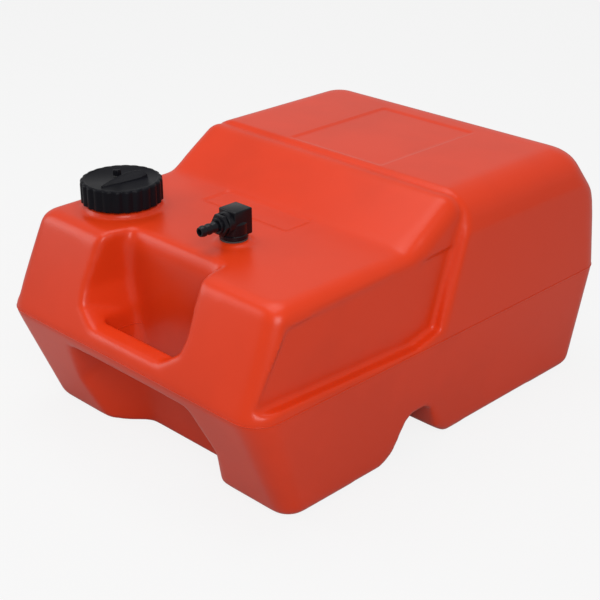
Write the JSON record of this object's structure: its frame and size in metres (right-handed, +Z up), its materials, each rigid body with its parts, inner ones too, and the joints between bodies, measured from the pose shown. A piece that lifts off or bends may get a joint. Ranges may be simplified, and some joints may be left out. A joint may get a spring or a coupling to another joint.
{
  "type": "outboard fuel tank",
  "caption": "Portable fuel tank for an outboard motor, with a carry bar, screw filler cap with vent, and swivel hose elbow",
  "frame": {"origin": "on the ground under the middle of the tank's overall box", "axes": "+Z up; -Y towards the end with the carry bar; +X towards the hose elbow's side, away from the filler cap"},
  "size_m": [0.36, 0.505, 0.247],
  "materials": {
    "hdpe_shell": "satin, blow-moulded",
    "cap_plastic": "satin",
    "fitting_plastic": "smooth",
    "seal_rubber": "matt",
    "insert_brass": "turned",
    "tube_plastic": "natural",
    "strainer_plastic": "natural"
  },
  "bodies": {
    "tank": {"tank_shell": "hdpe_shell", "boss_insert": "insert_brass", "elbow_washer": "seal_rubber"},
    "cap_lift": {"cap_gasket": "seal_rubber"},
    "cap": {"filler_cap": "cap_plastic"},
    "vent_lift": {"vent_seal": "seal_rubber"},
    "vent": {"vent_screw": "fitting_plastic"},
    "fuel_fitting": {"elbow": "fitting_plastic", "barb_seal": "seal_rubber", "hose_barb": "fitting_plastic", "pickup_tube": "tube_plastic", "strainer": "strainer_plastic", "strainer_plug": "fitting_plastic"}
  },
  "joints": [
    {"name": "cap_rise", "type": "slide", "parent": "tank", "child": "cap_lift", "axis": [0, 0, 1], "range_m": [0, 0.012]},
    {"name": "cap_turn", "type": "hinge", "parent": "cap_lift", "child": "cap", "pos_m": [-0.1125, -0.1515, 0.229], "axis": [0, 0, 1], "range_deg": [0, 1080]},
    {"name": "vent_rise", "type": "slide", "parent": "cap", "child": "vent_lift", "axis": [0, 0, 1], "range_m": [0, 0.003]},
    {"name": "vent_turn", "type": "hinge", "parent": "vent_lift", "child": "vent", "pos_m": [-0.1185, -0.1515, 0.236], "axis": [0, 0, 1], "range_deg": [0, 1080]},
    {"name": "elbow_swivel", "type": "hinge", "parent": "tank", "child": "fuel_fitting", "pos_m": [0.0305, -0.136, 0.21], "axis": [0, 0, 1], "continuous": true}
  ],
  "couplings": [
    {"joint": "cap_turn", "follows": "cap_rise", "rad_per_m": 1570.8},
    {"joint": "vent_turn", "follows": "vent_rise", "rad_per_m": 6283.2}
  ]
}
